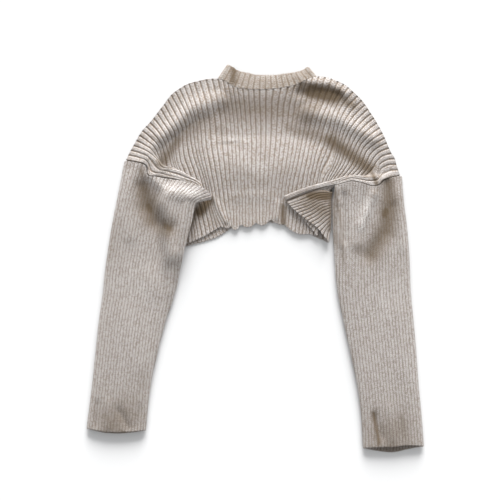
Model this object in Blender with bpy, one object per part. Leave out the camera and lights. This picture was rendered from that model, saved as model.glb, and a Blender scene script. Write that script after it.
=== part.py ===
"""A cropped pullover in chunky rib, laid flat with its front up, in metres.

The origin is on the surface it lies on, with the neck towards +Y and the cuffs towards -Y.
Five pieces of knit: front, back, neckband and two sleeves, each one thick sheet. Every rib of
a panel has a number, 0 at the middle and growing towards +X, and a panel is the sheet that its
ribs sweep. Where the sheet is pleated or turned up, a rib is placed by how far along the fold
it is and how far from it, measured over the cloth.
"""

import math

import bmesh
import bpy
import numpy as np

MM = 0.001
WALL = 2.4  # thickness of the knit, mm, as all lengths below
SEAM = 0.8  # between the middles of two edges that are sewn together
FLOOR = WALL / 2  # height of the middle of a layer that lies on the surface
FIRST = 5.0  # the same, for the front where it lies on the back
LAYER = 4.0  # from one layer of a pleat to the next
TOP = FIRST + 2 * LAYER

# Eight levels down a rib: top edge, yoke, chest, armhole, underarm, waist, skirt, hem.
LEVELS = np.arange(8) / 7

# Where a rib's point is on a pleat: before it, on its hidden fold, between its folds, on its
# visible fold, or past it.
BEFORE, FOLD, INSIDE, EDGE, PAST = 0, 1, 2, 3, 4
PLAIN = (BEFORE,) * 8
CROSSES = (BEFORE,) * 4 + (FOLD,) + (INSIDE,) * 3
ALONG = (BEFORE,) * 4 + (FOLD,) * 4
TO_HEM = (BEFORE,) * 7 + (FOLD,)
ON_EDGE = (PAST,) * 3 + (EDGE,) * 5
STRIP = (PAST,) * 8

# One row for each guiding rib: its number, where it is on the pleat, and (x, y) at each level.
FRONT_RIBS = (
    (-31.5, STRIP,
     (-232, 176), (-212, 172), (-194, 163), (-183, 146), (-151, 142), (-106, 117), (-134, 68), (-147, 15)),
    (-30, STRIP,
     (-226, 189), (-209, 184), (-193, 176), (-181, 158), (-148, 148), (-100, 119), (-122, 74), (-137, 19)),
    (-28.5, ON_EDGE,
     (-219, 202), (-204, 196), (-190, 188), (-178, 169), (-142, 155), (-94, 121), (-112, 79), (-127, 22)),
    (-25, (BEFORE,) * 4 + (FOLD,) * 4,
     (-200, 233), (-185, 219), (-171, 202), (-166, 181), (-160, 157), (-146, 118), (-138, 71), (-139, 22)),
    (-24, PLAIN,
     (-193, 240), (-178, 224), (-166, 206), (-159, 185), (-151, 159), (-138, 123), (-129, 73), (-125, 25)),
    (-20, PLAIN,
     (-167, 273), (-155, 251), (-142, 228), (-141, 199), (-135, 166), (-122, 129), (-109, 84), (-99, 35)),
    (-16.5, PLAIN,
     (-144, 300), (-131, 274), (-119, 244), (-116, 212), (-109, 177), (-97, 140), (-86, 98), (-74, 48)),
    (-13, PLAIN,
     (-115, 316), (-103, 278), (-95, 238), (-92, 202), (-85, 165), (-77, 128), (-70, 91), (-54, 56)),
    (-8.5, PLAIN,
     (-67, 323), (-59, 285), (-53, 246), (-50, 206), (-47, 166), (-44, 129), (-40, 91), (-38, 53)),
    (-4, PLAIN,
     (-27, 305), (-23, 273), (-20, 238), (-18, 204), (-17, 166), (-16, 130), (-14, 94), (-14, 58)),
    (0, PLAIN,
     (14, 303), (14, 271), (15, 238), (15, 204), (13, 166), (12, 130), (11, 94), (11, 60)),
    (4, PLAIN,
     (66, 309), (58, 278), (54, 242), (50, 206), (45, 166), (40, 132), (37, 98), (33, 66)),
    (8.5, PLAIN,
     (115, 327), (104, 289), (94, 253), (85, 210), (76, 165), (68, 127), (63, 89), (59, 52)),
    (12, PLAIN,
     (155, 316), (140, 285), (126, 253), (112, 206), (101, 161), (94, 122), (88, 82), (82, 42)),
    (15, PLAIN,
     (181, 296), (160, 271), (147, 240), (131, 189), (114, 130), (109, 102), (105, 71), (101, 42)),
    (16.5, TO_HEM,
     (193, 284), (171, 261), (154, 227), (134, 158), (118, 104), (117, 82), (115, 60), (112, 39)),
    (18, CROSSES,
     (201, 272), (180, 251), (162, 221), (141, 158), (128, 106), (121, 87), (113, 68), (104, 49)),
    (20, CROSSES,
     (212, 256), (192, 238), (175, 213), (154, 162), (132, 114), (121, 97), (108, 79), (95, 59)),
    (24, CROSSES,
     (232, 220), (216, 210), (200, 197), (183, 161), (151, 127), (122, 113), (98, 98), (76, 83)),
    (27.5, CROSSES,
     (246, 188), (232, 184), (220, 174), (208, 156), (187, 141.5), (126, 127), (92, 115), (58, 102)),
    (28.5, ON_EDGE,
     (252, 178), (238, 176), (225, 168), (214, 152), (185, 149), (131, 136), (90, 124), (53, 110)),
    (30, STRIP,
     (256, 163), (242, 162), (229, 156), (217, 142), (185, 143), (133, 132), (92, 122), (55, 107)),
    (31.5, STRIP,
     (261, 148), (247, 145), (232, 140), (219, 129), (184, 136), (139, 130), (95, 119), (57, 104)),
)
# The hidden fold of each pleat: the line where the cloth starts to turn, how far round it
# turns there in degrees, and how deep the pleat is from there to its visible fold.
RIGHT_PLEAT = (
    (104, -30, 180, 80), (110, 39, 180, 80), (114.2, 59, 180, 78), (118.6, 79, 180, 74), (123, 98, 180, 66),
    (126, 109, 180, 40), (129.5, 117, 180, 24), (134, 124, 180, 14), (142, 130.5, 180, 8),
    (152, 134.5, 180, 6), (170, 139.7, 180, 5), (190, 145.2, 150, 2), (208, 150, 100, 0),
    (222, 153.6, 60, 0), (240, 158.2, 35, 0), (258, 162.6, 12, 0), (290, 170, 0, 0),
)
LEFT_PLEAT = (
    (-137, -30, 180, 4), (-137, 22, 180, 8), (-136, 45, 180, 14), (-137, 71, 180, 22), (-140, 95, 180, 36),
    (-144, 118, 180, 47), (-150, 138, 180, 28), (-158, 155, 180, 10), (-162, 162.5, 150, 2),
    (-166, 170, 100, 0), (-172, 181, 70, 0), (-180, 196, 35, 0), (-190, 215, 10, 0), (-220, 270, 0, 0),
)
# The visible fold by itself, for the part of the strip that runs down to the hem, and where the
# guiding ribs are on it.
STRIP_EDGE = (
    (10, 95, 180, 400), (53, 108, 180, 400), (90, 122, 180, 400), (131, 134, 180, 400),
    (160, 141, 180, 400), (185, 147, 180, 400), (230, 158, 180, 400), (300, 174, 180, 400),
)
ON_STRIP = {24: PLAIN, 27.5: PLAIN, 28.5: (FOLD,) * 8, 30: (INSIDE,) * 8, 31.5: (INSIDE,) * 8}

TURNS = (BEFORE,) * 4 + (FOLD,) + (INSIDE,) * 3
BACK_RIBS = (
    (-31.5, PLAIN,
     (-231, 175), (-214, 168), (-196, 158), (-180, 140), (-166, 123), (-155, 107), (-151, 64), (-149, 14)),
    (-28, PLAIN,
     (-212, 206), (-196, 191), (-178, 176), (-168, 152), (-156, 128), (-147, 107), (-140, 64), (-136, 18)),
    (-24, PLAIN,
     (-189, 238), (-175, 217), (-160, 194), (-151, 165), (-144, 134), (-137, 107), (-128, 64), (-119, 22)),
    (-20, PLAIN,
     (-164, 271), (-151, 246), (-137, 219), (-130, 183), (-122, 147), (-113, 114), (-104, 71), (-92, 29)),
    (-16.5, PLAIN,
     (-142, 299), (-128, 269), (-117, 237), (-110, 201), (-103, 165), (-92, 125), (-81, 82), (-68, 37)),
    (-13, PLAIN,
     (-114, 315), (-101, 276), (-94, 237), (-88, 199), (-81, 161), (-72, 123), (-61, 86), (-49, 49)),
    (-8.5, PLAIN,
     (-67, 322), (-61, 284), (-56, 246), (-50, 206), (-47, 166), (-43, 129), (-40, 93), (-34, 58)),
    (0, PLAIN,
     (14, 312), (14, 276), (14, 240), (14, 202), (13, 166), (13, 130), (13, 96), (13, 64)),
    (8.5, PLAIN,
     (113, 325), (103, 287), (92, 247), (81, 194), (74, 140), (71, 112), (69, 86), (68, 58)),
    (12, PLAIN,
     (153, 314), (138, 280), (118, 235), (96, 160), (93, 100), (93, 84), (92, 65), (92, 46)),
    (15, PLAIN,
     (184, 292), (163, 262), (136, 208), (105, 134), (113, 68), (114, 57), (115, 46), (115, 35)),
    (16.5, ALONG,
     (194, 283), (172, 250), (146, 200), (110, 128), (136, 48), (135, 41), (134, 34), (133, 27)),
    (18, TURNS,
     (203, 271), (182, 240), (156, 193), (116, 131), (136.5, 57), (131, 50), (128, 43), (126, 36)),
    (20, TURNS,
     (212, 255), (193, 228), (167, 186), (122, 134), (137, 72), (129, 63), (122, 56), (115, 50)),
    (24, TURNS,
     (232, 219), (214, 202), (184, 169), (132, 141), (137.5, 93), (122, 86), (108, 76), (92, 68)),
    (28, TURNS,
     (247, 184), (230, 172), (198, 152), (143, 144), (138, 107), (116, 104), (94, 94), (70, 86)),
    (31.5, TURNS,
     (260, 146), (236, 141), (205, 139.5), (157, 141), (139, 117), (118, 120.3), (90, 112.6), (57.8, 99.4)),
)
TURN_UP = (
    (118, -30, 180, 400), (127, 27, 180, 400), (130, 60, 180, 400), (131, 92, 180, 400),
    (131.3, 106, 180, 400), (133, 118, 180, 400), (138, 126, 180, 400), (146, 130.8, 180, 400),
    (158, 133, 180, 400), (205, 134, 180, 400), (300, 134, 180, 400),
)

# Soft ridges (and, with a minus, troughs) of the front: both ends, half-width, height.
SWELLS = (
    (-60, 166, 80, 163, 44, 6.5),
    (-45, 304, 85, 304, 30, 4.5),
    (-62, 286, -115, 268, 17, 8.0),
    (-115, 268, -168, 218, 15, 9.0),
    (-168, 218, -196, 190, 11, 5.0),
    (85, 318, 135, 314, 10, 7.0),
    (135, 314, 162, 298, 9, 6.0),
    (95, 262, 150, 250, 16, 7.0),
    (150, 250, 212, 215, 14, 7.0),
    (80, 297, 150, 291, 8, -6.0),
    (-92, 238, -150, 204, 12, -6.0),
    (-150, 204, -170, 172, 9, -5.0),
    (-70, 230, 60, 229, 11, -4.5),
    (60, 229, 135, 206, 11, -5.0),
    (135, 206, 200, 162, 11, -4.5),
    (-64, 203, -28, 207, 3, -1.6),
    (-58, 197, -30, 200, 3, 1.6),
    (10, 172, 30, 178, 4, 1.2),
    (-40, 118, 30, 116, 18, 2.5),
    (40, 100, 40, 72, 5, 3.0),
    (50, 100, 51, 62, 5, -2.5),
    (-34, 92, -32, 60, 5, -2.5),
    (-76, 112, -54, 66, 5, 3.0),
)


def smooth(value):
    value = np.clip(value, 0.0, 1.0)
    return value * value * (3 - 2 * value)


def swell(x, y, rows):
    """Height that the soft ridges and troughs add at (x, y). It never sinks into the layer below."""
    ridge, trough = np.zeros(np.shape(x)), np.zeros(np.shape(x))
    for x0, y0, x1, y1, half_width, height in rows:
        along = ((x - x0) * (x1 - x0) + (y - y0) * (y1 - y0)) / ((x1 - x0) ** 2 + (y1 - y0) ** 2)
        along = np.clip(along, 0.0, 1.0)
        away = np.hypot(x - x0 - along * (x1 - x0), y - y0 - along * (y1 - y0))
        here = height * np.exp(-((away / half_width) ** 2))
        ridge, trough = np.maximum(ridge, here), np.minimum(trough, here)
    total = ridge + trough
    return 0.5 * (total + np.sqrt(total * total + 0.6)) - 0.3


def through(knots, values, at):
    """A smooth curve through values at knots, with little overshoot, read at the places given."""
    knots = np.asarray(knots, float)
    values = np.asarray(values, float)
    step = np.diff(knots).reshape((-1,) + (1,) * (values.ndim - 1))
    slope = np.diff(values, axis=0) / step
    tangent = np.concatenate([slope[:1], np.zeros_like(slope[1:]), slope[-1:]])
    if len(slope) > 1:
        middle = (step[1:] * slope[:-1] + step[:-1] * slope[1:]) / (step[1:] + step[:-1])
        limit = 1.6 * np.minimum(abs(slope[:-1]), abs(slope[1:]))
        tangent[1:-1] = np.clip(middle, -limit, limit)
    place = np.clip(np.asarray(at, float), knots[0], knots[-1])
    cell = np.clip(np.searchsorted(knots, place, side="right") - 1, 0, len(knots) - 2)
    width = (knots[cell + 1] - knots[cell]).reshape((-1,) + (1,) * (values.ndim - 1))
    u = ((place - knots[cell]) / (knots[cell + 1] - knots[cell])).reshape(width.shape)
    return ((1 + 2 * u) * (1 - u) ** 2 * values[cell] + u * (1 - u) ** 2 * width * tangent[cell]
            + u * u * (3 - 2 * u) * values[cell + 1] - u * u * (1 - u) * width * tangent[cell + 1])


class Fold:
    """A fold's line, and the places beside it as (along the line, over the cloth past the line)."""

    def __init__(self, rows, side, radius):
        rows = np.array(rows, float)
        chord = np.concatenate([[0], np.cumsum(np.hypot(*np.diff(rows[:, :2], axis=0).T))])
        at = np.linspace(0, chord[-1], 1500)
        self.line = through(chord, rows[:, :2], at)
        self.run = np.gradient(self.line, axis=0)
        for _ in range(500):
            self.run[1:-1] = (self.run[:-2] + 2 * self.run[1:-1] + self.run[2:]) / 4
        self.run /= np.linalg.norm(self.run, axis=1, keepdims=True)
        self.kept = side * np.column_stack([-self.run[:, 1], self.run[:, 0]])
        self.along = np.concatenate([[0], np.cumsum(np.hypot(*np.diff(self.line, axis=0).T))])
        self.turn = np.radians(through(chord, rows[:, 2], at))
        self.depth = through(chord, rows[:, 3], at)
        self.radius = radius

    def shape(self, along):
        """Turn, radius and straight run of the pleat at these places along the line."""
        turn = np.maximum(np.interp(along, self.along, self.turn), 1e-3)
        depth = np.interp(along, self.along, self.depth)
        gentle = 5 * self.radius
        radius = np.minimum(2 * self.radius / (1 - np.cos(turn)), gentle)
        return turn, radius, depth

    def find(self, x, y, where):
        """(along, past) of the point (x, y) of the cloth, on the given part of the pleat."""
        apart = np.array((x, y)) - self.line
        ahead = (apart * self.run).sum(axis=1)
        off = (apart * self.kept).sum(axis=1)
        cross = np.nonzero((ahead[:-1] >= 0) & (ahead[1:] < 0))[0]
        i = cross[np.argmin(abs(off[cross]))]
        share = ahead[i] / (ahead[i] - ahead[i + 1])
        along = self.along[i] + share * (self.along[i + 1] - self.along[i])
        beyond = -(off[i] + share * (off[i + 1] - off[i]))
        turn, radius, depth = self.shape(along)
        arc = turn * radius
        end = 2 * arc + depth
        reach = 2 * radius * math.sin(turn) + depth * math.cos(turn)
        if where == FOLD:
            return along, arc / 2
        if where == INSIDE:
            return along, arc - beyond
        if where == EDGE:
            return along, 1.5 * arc + depth
        if where == PAST and (turn > 1.5 or beyond > reach):
            return along, end + beyond - reach
        if where == PAST and beyond > 0:
            return along, end * beyond / reach
        return along, beyond

    def place(self, along, past):
        """The cloth's (x, y) and the height it has gained, at (along, past)."""
        turn, radius, depth = self.shape(along)
        arc = turn * radius
        first = np.clip(past, 0, arc) / radius
        second = np.clip(past - arc - depth, 0, arc) / radius
        straight = np.clip(past - arc, 0, depth)
        beyond = np.minimum(past, 0) + np.maximum(past - 2 * arc - depth, 0)
        beyond = beyond + radius * np.sin(first) + straight * np.cos(turn)
        beyond = beyond + radius * (np.sin(turn) - np.sin(turn - second))
        raised = radius * (1 - np.cos(first)) + straight * np.sin(turn)
        raised = raised + radius * (np.cos(turn - second) - np.cos(turn))
        base = [np.interp(along, self.along, self.line[:, i]) for i in (0, 1)]
        kept = [np.interp(along, self.along, self.kept[:, i]) for i in (0, 1)]
        size = np.hypot(*kept)
        return np.stack([base[i] - kept[i] / size * beyond for i in (0, 1)] + [raised], axis=-1)


def panel(rows, folds):
    """The middle of a panel's cloth, as a function of rib numbers and levels.

    folds: (fold, ribs over which its measure comes in, levels over which it does, its base height).
    """
    ribs = np.array([row[0] for row in rows], float)
    plan = np.array([row[2:] for row in rows], float)
    inner = np.array([set(row[1]) == {BEFORE} or abs(row[0]) < 17 for row in rows])
    measured = []
    for fold, over_ribs, over_levels, base in folds:
        outward = np.sign(over_ribs[1] - over_ribs[0])
        used = outward * (ribs - over_ribs[0]) >= -0.01
        wheres = [row[1] if base == 0 else ON_STRIP.get(row[0], PLAIN) for row in rows]
        pairs = [[fold.find(x, y, where) for (x, y), where in zip(rows[i][2:], wheres[i])]
                 for i in np.nonzero(used)[0]]
        measured.append((fold, over_ribs, over_levels, base, ribs[used], np.array(pairs)))

    def read(knots, grid, at_ribs, at_levels):
        across = through(knots, grid, np.clip(at_ribs, knots[0], knots[-1]))
        return through(LEVELS, across.transpose(1, 0, 2), at_levels).transpose(1, 0, 2)

    def middle(at_ribs, at_levels):
        at_ribs, at_levels = np.asarray(at_ribs, float), np.asarray(at_levels, float)
        flat = read(ribs[inner], plan[inner], at_ribs, at_levels)
        points = np.concatenate([flat, np.zeros(flat.shape[:2] + (1,))], axis=2)
        for fold, over_ribs, over_levels, base, knots, pairs in measured:
            share = smooth((at_ribs - over_ribs[0]) / (over_ribs[1] - over_ribs[0]))[:, None]
            if over_levels:
                share = share * smooth((at_levels - over_levels[0]) / (over_levels[1] - over_levels[0]))
            found = read(knots, pairs, at_ribs, at_levels)
            placed = fold.place(found[..., 0], found[..., 1]) + np.array((0, 0, base))
            points = points + (share * np.ones(points.shape[:2]))[..., None] * (placed - points)
        return points

    return middle


def front(at_ribs, at_levels):
    points = front_plan(at_ribs, at_levels)
    shoulder = smooth((abs(np.asarray(at_ribs)) - 8) / 2)[:, None] * (1 - smooth(7 * np.asarray(at_levels)))
    points[..., 2] += FIRST - shoulder + swell(points[..., 0], points[..., 1], SWELLS)
    return points


def back(at_ribs, at_levels):
    points = back_plan(at_ribs, at_levels)
    side = smooth((-28.5 - np.asarray(at_ribs)) / 3)[:, None] * smooth((np.asarray(at_levels) - 0.6) / 0.2)
    points[..., 2] += FLOOR + 6 * side
    return points


def shell(name, middle, across, along, colour, closed=False):
    """One solid of the cloth's thickness about its middle; `closed` joins the last row to the first."""
    across, along = np.asarray(across, float), np.asarray(along, float)
    small_across, small_along = 1e-3 * (across[-1] - across[0]), 1e-3 * (along[-1] - along[0])
    points = middle(across, along)
    run = middle(across, along + small_along) - middle(across, along - small_along)
    rise = middle(across + small_across, along) - middle(across - small_across, along)
    normal = np.cross(run, rise)
    normal /= np.maximum(np.linalg.norm(normal, axis=2, keepdims=True), 1e-9)
    rows, columns = points.shape[:2]
    sides = [points + normal * WALL / 2, points - normal * WALL / 2]
    vertices = np.concatenate([side.reshape(-1, 3) for side in sides]) * MM
    number = np.arange(2 * rows * columns).reshape(2, rows, columns)
    faces = []
    last = rows if closed else rows - 1
    for i in range(last):
        j = (i + 1) % rows
        for k in range(columns - 1):
            faces.append((number[0, i, k], number[0, i, k + 1], number[0, j, k + 1], number[0, j, k]))
            faces.append((number[1, i, k], number[1, j, k], number[1, j, k + 1], number[1, i, k + 1]))
        faces.append((number[0, i, 0], number[0, j, 0], number[1, j, 0], number[1, i, 0]))
        faces.append((number[0, j, -1], number[0, i, -1], number[1, i, -1], number[1, j, -1]))
    if not closed:
        for k in range(columns - 1):
            faces.append((number[0, 0, k + 1], number[0, 0, k], number[1, 0, k], number[1, 0, k + 1]))
            faces.append((number[0, -1, k], number[0, -1, k + 1], number[1, -1, k + 1], number[1, -1, k]))
    mesh = bpy.data.meshes.new(name)
    mesh.from_pydata([tuple(v) for v in vertices], [], [tuple(int(n) for n in face) for face in faces])
    work = bmesh.new()
    work.from_mesh(mesh)
    if work.calc_volume(signed=True) < 0:
        bmesh.ops.reverse_faces(work, faces=work.faces)
    work.to_mesh(mesh)
    work.free()
    mesh.shade_smooth()
    piece = bpy.data.objects.new(name, mesh)
    bpy.context.scene.collection.objects.link(piece)
    knit = bpy.data.materials.new(name + "_knit")
    knit.use_nodes = True
    surface = knit.node_tree.nodes["Principled BSDF"]
    surface.inputs["Base Color"].default_value = (*colour, 1)
    surface.inputs["Roughness"].default_value = 0.9
    mesh.materials.append(knit)
    return piece


# Each row down a sleeve: its outer fold (x, y), its underarm fold (x, y), how thick it lies at
# the outer fold and at the underarm, how far the underarm side is lifted over the body, and
# the share of the width from and to which it rises.
SLEEVE_LEFT = (
    ((-248, 103), (-106, 97), 11, 9, 14.8, 0.46, 0.64),
    ((-256, 62), (-114.5, 62), 12, 9, 14.8, 0.56, 0.74),
    ((-262, 25), (-124, 26), 12, 9, 14.8, 0.62, 0.81),
    ((-265, 4), (-129, 6), 12, 9, 14.5, 0.66, 0.85),
    ((-269, -25), (-135, -22), 12, 10, 5, 0.60, 0.95),
    ((-272, -57), (-142, -55), 12, 11, 0.5, 0.60, 1.0),
    ((-280, -118), (-162, -118), 13, 12, 0, 0.6, 1.0),
    ((-286, -177), (-177, -177), 13, 13, 0, 0.6, 1.0),
    ((-292, -235), (-189, -237), 12, 13, 0, 0.6, 1.0),
    ((-301, -307), (-196, -310), 11, 12, 0, 0.6, 1.0),
)
SLEEVE_RIGHT = (
    ((267, 98), (140, 96), 11, 10, 0, 0.6, 1.0),
    ((272, 57), (140.5, 57), 12, 11, 0, 0.6, 1.0),
    ((276, 4), (143.5, 4), 13, 12, 0, 0.6, 1.0),
    ((278, -55), (148, -55), 13, 12, 0, 0.6, 1.0),
    ((283, -112), (159, -112), 13, 12, 0, 0.6, 1.0),
    ((288, -172), (172, -172), 13, 13, 0, 0.6, 1.0),
    ((292, -231), (184, -231), 13, 13, 0, 0.6, 1.0),
    ((297, -285), (191, -285), 12, 12, 0, 0.6, 1.0),
    ((301, -339), (194, -333), 11, 11, 0, 0.6, 1.0),
)
# How far the under layer reaches past the upper one at the cuffs, and how the cuff edge waves.
CUFF_LEFT = (2, ((0, 0), (0.1, -2), (0.3, -5), (0.55, -5), (0.8, -3), (1, 0)))
CUFF_RIGHT = (9, ((0, 0), (0.12, 1), (0.3, 0), (0.5, -4), (0.75, -6), (1, -9)))
# Where the upper layer of the left sleeve lies over the strip, out to its tip, and how its
# under layer comes back down to the back's edge: (x, y, height).
TIP_OVER = ((-144, 138.6, 15), (-134, 137.6, 17.4), (-118, 134, 19.2),
            (-99, 127, 20.8), (-86, 118.5, 21.6), (-79, 111, 21.4), (-77, 104.5, 19.8))
TIP_UNDER = ((-80, 103, 17.6), (-91, 105, 17.0), (-108, 110, 16.4), (-128, 115, 16), (-146, 116, 15.4),
             (-158, 118, 11.5), (-168, 121, 5), (-174, 128, 2))
# The top edge of the neckband, from -X to +X: its front layer, and the one behind it.
NECK_TOP = ((-49, 349), (-41, 345), (-31, 338), (-9, 333), (4, 330), (36, 330), (50, 332), (81, 337),
            (97, 346))
NECK_BEHIND = ((-49, 348), (-27, 332), (14, 325), (63, 330), (97, 344))


def evenly(line, count):
    """A line of points read again at equal lengths."""
    line = np.asarray(line, float)
    reach = np.concatenate([[0], np.cumsum(np.linalg.norm(np.diff(line, axis=0), axis=1))])
    return through(reach, line, np.linspace(0, reach[-1], count))


def section(outer, inner, thick, thin, lift, rise_from, rise_to, overhang=0.0, wave=((0, 0), (1, 0))):
    """Upper and under layer of a sleeve lying flat, from its outer fold to its underarm fold."""
    f = 0.5 - 0.5 * np.cos(np.linspace(0, math.pi, 80))
    raised = lift * smooth((f - rise_from) / (rise_to - rise_from))
    half = (thick + (thin - thick) * f) / 2
    over = (1 - abs(2 * f - 1) ** 3.0) ** 0.5
    under = (1 - abs(2 * f - 1) ** 8.0) ** 0.5
    plan = np.array(outer, float) + f[:, None] * (np.array(inner, float) - np.array(outer, float))
    plan[:, 1] += np.interp(f, *zip(*wave))
    below = plan - np.sin(math.pi * f)[:, None] * np.array((0, overhang))
    return (np.column_stack([plan, FLOOR + raised + half + half * over]),
            np.column_stack([below, FLOOR + raised + half - half * under]))


def tube(sections, columns=40):
    """The middle of a flat tube: 0 to 1 goes over its upper layer, 1 to 2 back along its under layer."""
    rings = np.array([np.concatenate([evenly(high, columns + 1)[:-1], evenly(low[::-1], columns + 1)[:-1]])
                      for high, low in sections])
    wrapped = np.concatenate([rings[:, -3:], rings, rings[:, :4]], axis=1).transpose(1, 0, 2)
    around = np.arange(-3, 2 * columns + 4) / columns
    centres = rings.mean(axis=1)
    levels = np.concatenate([[0], np.cumsum(np.linalg.norm(np.diff(centres, axis=0), axis=1))])
    levels /= levels[-1]

    def middle(at_around, at_levels):
        across = through(around, wrapped, np.mod(at_around, 2.0))
        return through(levels, across.transpose(1, 0, 2), at_levels).transpose(1, 0, 2)

    return middle


def sewn_to(surface, rib, levels, out):
    """Points just off a panel's side edge, `out` mm beyond the rib at its end."""
    levels = np.asarray(levels, float)
    edge = surface([rib], levels)[0]
    way = edge - surface([rib - 0.15 * np.sign(rib)], levels)[0]
    run = surface([rib], levels + 0.004)[0] - surface([rib], levels - 0.004)[0]
    run /= np.linalg.norm(run, axis=1, keepdims=True)
    way -= (way * run).sum(axis=1, keepdims=True) * run
    return edge + out * way / np.linalg.norm(way, axis=1, keepdims=True)


for item in list(bpy.data.objects):
    bpy.data.objects.remove(item)

right_pleat = Fold(RIGHT_PLEAT, 1, LAYER / 2)
left_pleat = Fold(LEFT_PLEAT, -1, LAYER / 2)
turn_up = Fold(TURN_UP, 1, (TOP - FLOOR) / 2)
strip_edge = Fold(STRIP_EDGE, -1, LAYER / 2)
front_plan = panel(FRONT_RIBS, (
    (right_pleat, (8.5, 15), None, 0),
    (left_pleat, (-13, -20), None, 0),
    (strip_edge, (24, 27), (4.55 / 7, 5 / 7), LAYER),
))
back_plan = panel(BACK_RIBS, ((turn_up, (8.5, 15), None, 0),))


def merge(*lists):
    """Sorted values with near repeats taken out."""
    values = np.unique(np.round(np.concatenate([np.atleast_1d(v) for v in lists]), 4))
    return values[np.concatenate([[True], np.diff(values) > 0.004])]


turn_levels = (4 + np.array((-0.3, -0.12, -0.06, 0, 0.06, 0.12, 0.3))) / 7
front_ribs = merge(np.linspace(-31.5, -29.6, 4), np.linspace(-29.3, -24, 15), (-21, -18, -15, -12),
                   np.linspace(-9, 9, 13), (12, 15), np.linspace(15, 20, 12), (22.5, 25),
                   np.linspace(27.5, 31.5, 11))
front_levels = merge(np.linspace(0, 1, 15), turn_levels)
shell("front_panel", front, front_ribs, front_levels, (0.62, 0.54, 0.46))
back_ribs = merge(np.linspace(-31.5, 12, 16), np.linspace(12, 20, 12), np.linspace(20, 31.5, 8))
back_levels = merge(np.linspace(0, 3, 6) / 7, (3.2 / 7, 3.4 / 7, 3.6 / 7), turn_levels, (5 / 7, 6 / 7, 1))
shell("back_panel", back, back_ribs, back_levels, (0.60, 0.52, 0.44))

# The sleeves start at the armhole: upper layer on the front's edge, under layer on the back's.
over = np.concatenate([[(-234, 174, 2.9)], sewn_to(front, -31.5, np.linspace(0, 4, 18) / 7, 2 * SEAM),
                       TIP_OVER])
under = np.concatenate([sewn_to(back, -31.5, np.linspace(0.1, 3.1, 14) / 7, 1.5 * SEAM), TIP_UNDER[::-1]])
rows = [section(*row) for row in SLEEVE_LEFT[:-1]]
rows.append(section(*SLEEVE_LEFT[-1], *CUFF_LEFT))
sleeve_left = tube([(over, under)] + rows)
half = np.array((0, 0.02, 0.05, 0.1, 0.17, 0.24, 0.3, 0.345, 0.39, 0.45, 0.55, 0.68, 0.8, 0.9, 0.95, 0.98))
around = np.concatenate([half, 1 + half])
down = merge(np.linspace(0, 0.12, 5), np.linspace(0.12, 1, 12))
shell("sleeve_left", sleeve_left, around, down, (0.62, 0.55, 0.48), closed=True)

over = np.concatenate([[(263.5, 146, 2.9)], sewn_to(front, 31.5, np.linspace(0, 4.95, 26) / 7, SEAM)])
under = np.concatenate([sewn_to(back, 31.5, np.linspace(0.1, 3, 20) / 7, 1.5 * SEAM),
                        [(153, 129.5, 3), (148.5, 126.5, 7), (145, 126.3, 11)]])
rows = [section(*row) for row in SLEEVE_RIGHT[:-1]]
rows.append(section(*SLEEVE_RIGHT[-1], *CUFF_RIGHT))
sleeve_right = tube([(over, under)] + rows)
shell("sleeve_right", sleeve_right, around, down, (0.62, 0.55, 0.48), closed=True)


# The neckband: its foot on the two necklines, its top edge read from the table.
def neck_foot(surface, ribs):
    edge = surface(ribs, [0.0])[:, 0]
    way = edge - surface(ribs, [0.01])[:, 0]
    run = np.gradient(edge, axis=0)
    run /= np.linalg.norm(run, axis=1, keepdims=True)
    way -= (way * run).sum(axis=1, keepdims=True) * run
    return edge + 2 * SEAM * way / np.linalg.norm(way, axis=1, keepdims=True)


neck_ribs = np.linspace(-8.4, 8.4, 30)
foot = (neck_foot(front, neck_ribs), neck_foot(back, neck_ribs))
bow = np.clip(np.sin(math.pi * np.linspace(0, 1, 30)) * 3, 0, 1)
top = (evenly([(x, y, 4.9) for x, y in NECK_TOP], 30), evenly([(x, y, 1.9) for x, y in NECK_BEHIND], 30))
top[0][:, 2] += 1.2 * bow
top[1][:, 2] += (FLOOR - 1.9) * bow
bands = [tuple(a + share * (b - a) for a, b in zip(foot, top)) for share in (0, 0.5, 1)]
bands[1] = (bands[1][0] + (0, 0, 0.8), bands[1][1])
neckband = tube(bands)
around = np.concatenate([np.linspace(0, 0.96, 25), 1 + np.linspace(0, 0.96, 25)])
shell("neckband", neckband, around, np.linspace(0, 1, 3), (0.64, 0.57, 0.5), closed=True)
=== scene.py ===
"""A cropped pullover in chunky rib knit, laid flat on a pale floor with its front up.

Each piece of knit is a closed shell with its ribs standing on the outer face. Lengths in the
tables are millimetres; the neck is towards +Y and the cuffs are towards -Y.
"""

import math

import bpy
import numpy as np
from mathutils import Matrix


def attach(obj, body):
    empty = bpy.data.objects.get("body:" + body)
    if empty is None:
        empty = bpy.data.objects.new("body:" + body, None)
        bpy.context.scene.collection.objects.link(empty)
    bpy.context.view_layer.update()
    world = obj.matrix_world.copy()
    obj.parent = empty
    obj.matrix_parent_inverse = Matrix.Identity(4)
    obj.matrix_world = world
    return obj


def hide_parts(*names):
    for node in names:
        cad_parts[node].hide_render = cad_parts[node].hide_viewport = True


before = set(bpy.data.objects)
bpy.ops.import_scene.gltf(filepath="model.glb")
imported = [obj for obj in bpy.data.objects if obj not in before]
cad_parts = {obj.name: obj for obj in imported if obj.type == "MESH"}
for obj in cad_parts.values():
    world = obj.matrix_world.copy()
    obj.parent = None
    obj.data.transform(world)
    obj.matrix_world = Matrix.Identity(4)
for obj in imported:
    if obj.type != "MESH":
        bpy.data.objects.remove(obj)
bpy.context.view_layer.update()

# ---------------------------------------------------------------- front panel
# The front of the pullover: one piece of chunky rib in oatmeal wool, its ribs running from the
# neckline and shoulders down to the hem. It lies on the back with soft ridges and troughs, and
# is pleated over itself below each armhole, so that a narrow strip of its side lies on top.
MM = 0.001
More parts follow.
